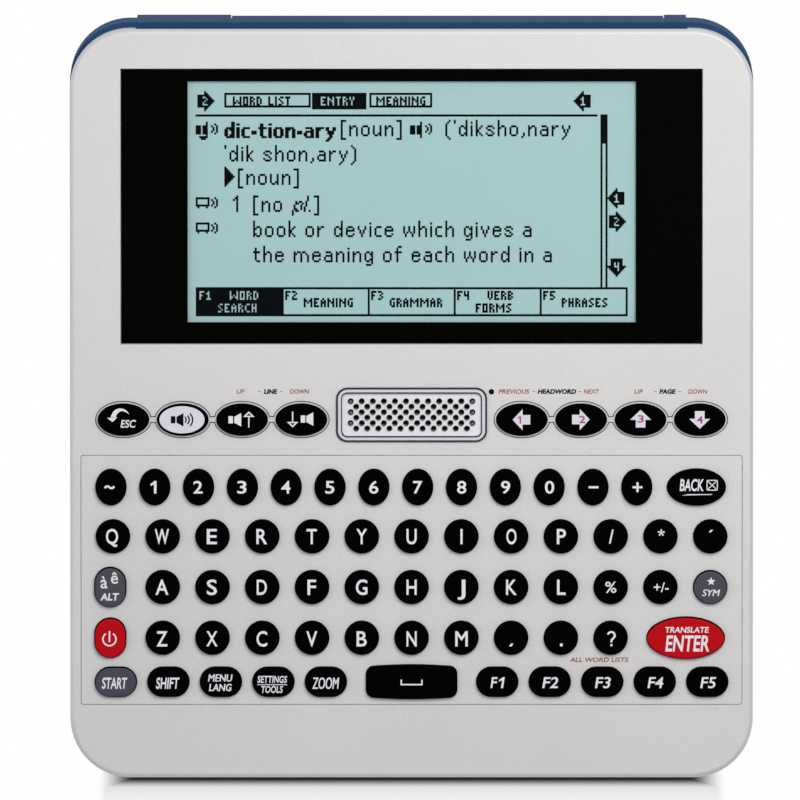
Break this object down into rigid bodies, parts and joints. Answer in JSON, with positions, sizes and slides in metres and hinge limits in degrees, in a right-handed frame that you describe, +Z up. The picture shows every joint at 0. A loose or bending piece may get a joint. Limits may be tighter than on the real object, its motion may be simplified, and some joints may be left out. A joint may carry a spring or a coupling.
{
  "type": "electronic dictionary",
  "caption": "Handheld electronic dictionary with a full letter keyboard, a monochrome display, a speaker, and a battery hump at the back that props the face up.",
  "frame": {"origin": "middle of the bounding box at the level of the desk, which the four feet stand on", "axes": "+X to the right of the person reading it, +Y away from them and up the face, +Z up; the face leans towards the reader by the hump under its far end"},
  "size_m": [0.142, 0.1588, 0.0269],
  "materials": {
    "silver_paint": "satin metallic paint with fine flake over plastic",
    "blue_casing": "satin moulded plastic",
    "pale_lilac_plastic": "satin metallic paint",
    "black_plastic": "matte",
    "window": "clear acrylic with a black printed border on its back",
    "display_glass": "glossy glass with a pale green-grey reflective layer",
    "light_guide": "translucent",
    "steel": "nickel-plated sheet and wire",
    "foam": "matte foam",
    "flex_film": "amber polyimide film",
    "board_green": "solder mask over glass fibre",
    "chip_black": "matte",
    "mat_silicone": "matte silicone",
    "cell_wrap": "printed film over steel",
    "foot_rubber": "matte",
    "black_key": "matte with white printing",
    "grey_key": "matte with white printing",
    "red_key": "matte with white printing"
  },
  "bodies": {
    "housing": {"battery_cells": "cell_wrap", "battery_spring": "steel", "board_components": "chip_black", "board_screws": "steel", "case_screws": "steel", "contact_plates": "steel", "display_gasket": "foam", "display_window": "window", "front_case": "silver_paint", "headphone_jack": "black_plastic", "indicator_lens": "black_plastic", "key_mat": "mat_silicone", "keypad_panel": "silver_paint", "lcd_backlight": "light_guide", "lcd_flex_cable": "flex_film", "lcd_frame": "steel", "lcd_panel": "display_glass", "left_key_trim": "silver_paint", "main_board": "board_green", "memory_chips": "chip_black", "processor_chip": "chip_black", "rear_case": "blue_casing", "right_key_trim": "silver_paint", "rubber_feet": "foot_rubber", "speaker_bezel": "pale_lilac_plastic", "speaker_driver": "chip_black", "speaker_gasket": "foam", "speaker_grille": "pale_lilac_plastic"},
    "alternate_key": {"alternate_key": "grey_key"},
    "back_key": {"back_key": "black_key"},
    "down_arrow_key": {"down_arrow_key": "black_key"},
    "enter_key": {"enter_key": "red_key"},
    "escape_key": {"escape_key": "black_key"},
    "f1_key": {"f1_key": "black_key"},
    "f2_key": {"f2_key": "black_key"},
    "f3_key": {"f3_key": "black_key"},
    "f4_key": {"f4_key": "black_key"},
    "f5_key": {"f5_key": "black_key"},
    "home_letter_keys": {"home_letter_keys": "black_key"},
    "left_arrow_key": {"left_arrow_key": "black_key"},
    "lower_letter_keys": {"lower_letter_keys": "black_key"},
    "menu_key": {"menu_key": "black_key"},
    "number_row_keys": {"number_row_keys": "black_key"},
    "power_key": {"power_key": "red_key"},
    "right_arrow_key": {"right_arrow_key": "black_key"},
    "settings_key": {"settings_key": "black_key"},
    "shift_key": {"shift_key": "black_key"},
    "space_key": {"space_key": "black_key"},
    "speak_key": {"speak_key": "black_key"},
    "start_key": {"start_key": "grey_key"},
    "symbol_key": {"symbol_key": "grey_key"},
    "top_letter_keys": {"top_letter_keys": "black_key"},
    "up_arrow_key": {"up_arrow_key": "black_key"},
    "volume_down_key": {"volume_down_key": "black_key"},
    "volume_up_key": {"volume_up_key": "black_key"},
    "zoom_key": {"zoom_key": "black_key"},
    "battery_door": {"battery_door": "blue_casing"},
    "reset_button": {"reset_button": "black_plastic"}
  },
  "joints": [
    {"name": "alternate_key_press", "type": "slide", "parent": "housing", "child": "alternate_key", "axis": [0, 0.1016, -0.9948], "range_m": [0, 0.001], "stiffness_N_per_m": 1200},
    {"name": "back_key_press", "type": "slide", "parent": "housing", "child": "back_key", "axis": [0, 0.1016, -0.9948], "range_m": [0, 0.001], "stiffness_N_per_m": 1200},
    {"name": "down_arrow_key_press", "type": "slide", "parent": "housing", "child": "down_arrow_key", "axis": [0, 0.1016, -0.9948], "range_m": [0, 0.001], "stiffness_N_per_m": 1200},
    {"name": "enter_key_press", "type": "slide", "parent": "housing", "child": "enter_key", "axis": [0, 0.1016, -0.9948], "range_m": [0, 0.001], "stiffness_N_per_m": 1200},
    {"name": "escape_key_press", "type": "slide", "parent": "housing", "child": "escape_key", "axis": [0, 0.1016, -0.9948], "range_m": [0, 0.001], "stiffness_N_per_m": 1200},
    {"name": "f1_key_press", "type": "slide", "parent": "housing", "child": "f1_key", "axis": [0, 0.1016, -0.9948], "range_m": [0, 0.001], "stiffness_N_per_m": 1200},
    {"name": "f2_key_press", "type": "slide", "parent": "housing", "child": "f2_key", "axis": [0, 0.1016, -0.9948], "range_m": [0, 0.001], "stiffness_N_per_m": 1200},
    {"name": "f3_key_press", "type": "slide", "parent": "housing", "child": "f3_key", "axis": [0, 0.1016, -0.9948], "range_m": [0, 0.001], "stiffness_N_per_m": 1200},
    {"name": "f4_key_press", "type": "slide", "parent": "housing", "child": "f4_key", "axis": [0, 0.1016, -0.9948], "range_m": [0, 0.001], "stiffness_N_per_m": 1200},
    {"name": "f5_key_press", "type": "slide", "parent": "housing", "child": "f5_key", "axis": [0, 0.1016, -0.9948], "range_m": [0, 0.001], "stiffness_N_per_m": 1200},
    {"name": "home_letter_keys_press", "type": "slide", "parent": "housing", "child": "home_letter_keys", "axis": [0, 0.1016, -0.9948], "range_m": [0, 0.001], "stiffness_N_per_m": 1200},
    {"name": "left_arrow_key_press", "type": "slide", "parent": "housing", "child": "left_arrow_key", "axis": [0, 0.1016, -0.9948], "range_m": [0, 0.001], "stiffness_N_per_m": 1200},
    {"name": "lower_letter_keys_press", "type": "slide", "parent": "housing", "child": "lower_letter_keys", "axis": [0, 0.1016, -0.9948], "range_m": [0, 0.001], "stiffness_N_per_m": 1200},
    {"name": "menu_key_press", "type": "slide", "parent": "housing", "child": "menu_key", "axis": [0, 0.1016, -0.9948], "range_m": [0, 0.001], "stiffness_N_per_m": 1200},
    {"name": "number_row_keys_press", "type": "slide", "parent": "housing", "child": "number_row_keys", "axis": [0, 0.1016, -0.9948], "range_m": [0, 0.001], "stiffness_N_per_m": 1200},
    {"name": "power_key_press", "type": "slide", "parent": "housing", "child": "power_key", "axis": [0, 0.1016, -0.9948], "range_m": [0, 0.001], "stiffness_N_per_m": 1200},
    {"name": "right_arrow_key_press", "type": "slide", "parent": "housing", "child": "right_arrow_key", "axis": [0, 0.1016, -0.9948], "range_m": [0, 0.001], "stiffness_N_per_m": 1200},
    {"name": "settings_key_press", "type": "slide", "parent": "housing", "child": "settings_key", "axis": [0, 0.1016, -0.9948], "range_m": [0, 0.001], "stiffness_N_per_m": 1200},
    {"name": "shift_key_press", "type": "slide", "parent": "housing", "child": "shift_key", "axis": [0, 0.1016, -0.9948], "range_m": [0, 0.001], "stiffness_N_per_m": 1200},
    {"name": "space_key_press", "type": "slide", "parent": "housing", "child": "space_key", "axis": [0, 0.1016, -0.9948], "range_m": [0, 0.001], "stiffness_N_per_m": 1200},
    {"name": "speak_key_press", "type": "slide", "parent": "housing", "child": "speak_key", "axis": [0, 0.1016, -0.9948], "range_m": [0, 0.001], "stiffness_N_per_m": 1200},
    {"name": "start_key_press", "type": "slide", "parent": "housing", "child": "start_key", "axis": [0, 0.1016, -0.9948], "range_m": [0, 0.001], "stiffness_N_per_m": 1200},
    {"name": "symbol_key_press", "type": "slide", "parent": "housing", "child": "symbol_key", "axis": [0, 0.1016, -0.9948], "range_m": [0, 0.001], "stiffness_N_per_m": 1200},
    {"name": "top_letter_keys_press", "type": "slide", "parent": "housing", "child": "top_letter_keys", "axis": [0, 0.1016, -0.9948], "range_m": [0, 0.001], "stiffness_N_per_m": 1200},
    {"name": "up_arrow_key_press", "type": "slide", "parent": "housing", "child": "up_arrow_key", "axis": [0, 0.1016, -0.9948], "range_m": [0, 0.001], "stiffness_N_per_m": 1200},
    {"name": "volume_down_key_press", "type": "slide", "parent": "housing", "child": "volume_down_key", "axis": [0, 0.1016, -0.9948], "range_m": [0, 0.001], "stiffness_N_per_m": 1200},
    {"name": "volume_up_key_press", "type": "slide", "parent": "housing", "child": "volume_up_key", "axis": [0, 0.1016, -0.9948], "range_m": [0, 0.001], "stiffness_N_per_m": 1200},
    {"name": "zoom_key_press", "type": "slide", "parent": "housing", "child": "zoom_key", "axis": [0, 0.1016, -0.9948], "range_m": [0, 0.001], "stiffness_N_per_m": 1200},
    {"name": "battery_door_slide", "type": "slide", "parent": "housing", "child": "battery_door", "axis": [0, 1, 0], "range_m": [0, 0.02]},
    {"name": "reset_button_press", "type": "slide", "parent": "housing", "child": "reset_button", "axis": [0, -0.1016, 0.9948], "range_m": [0, 0.0005], "stiffness_N_per_m": 1200}
  ]
}
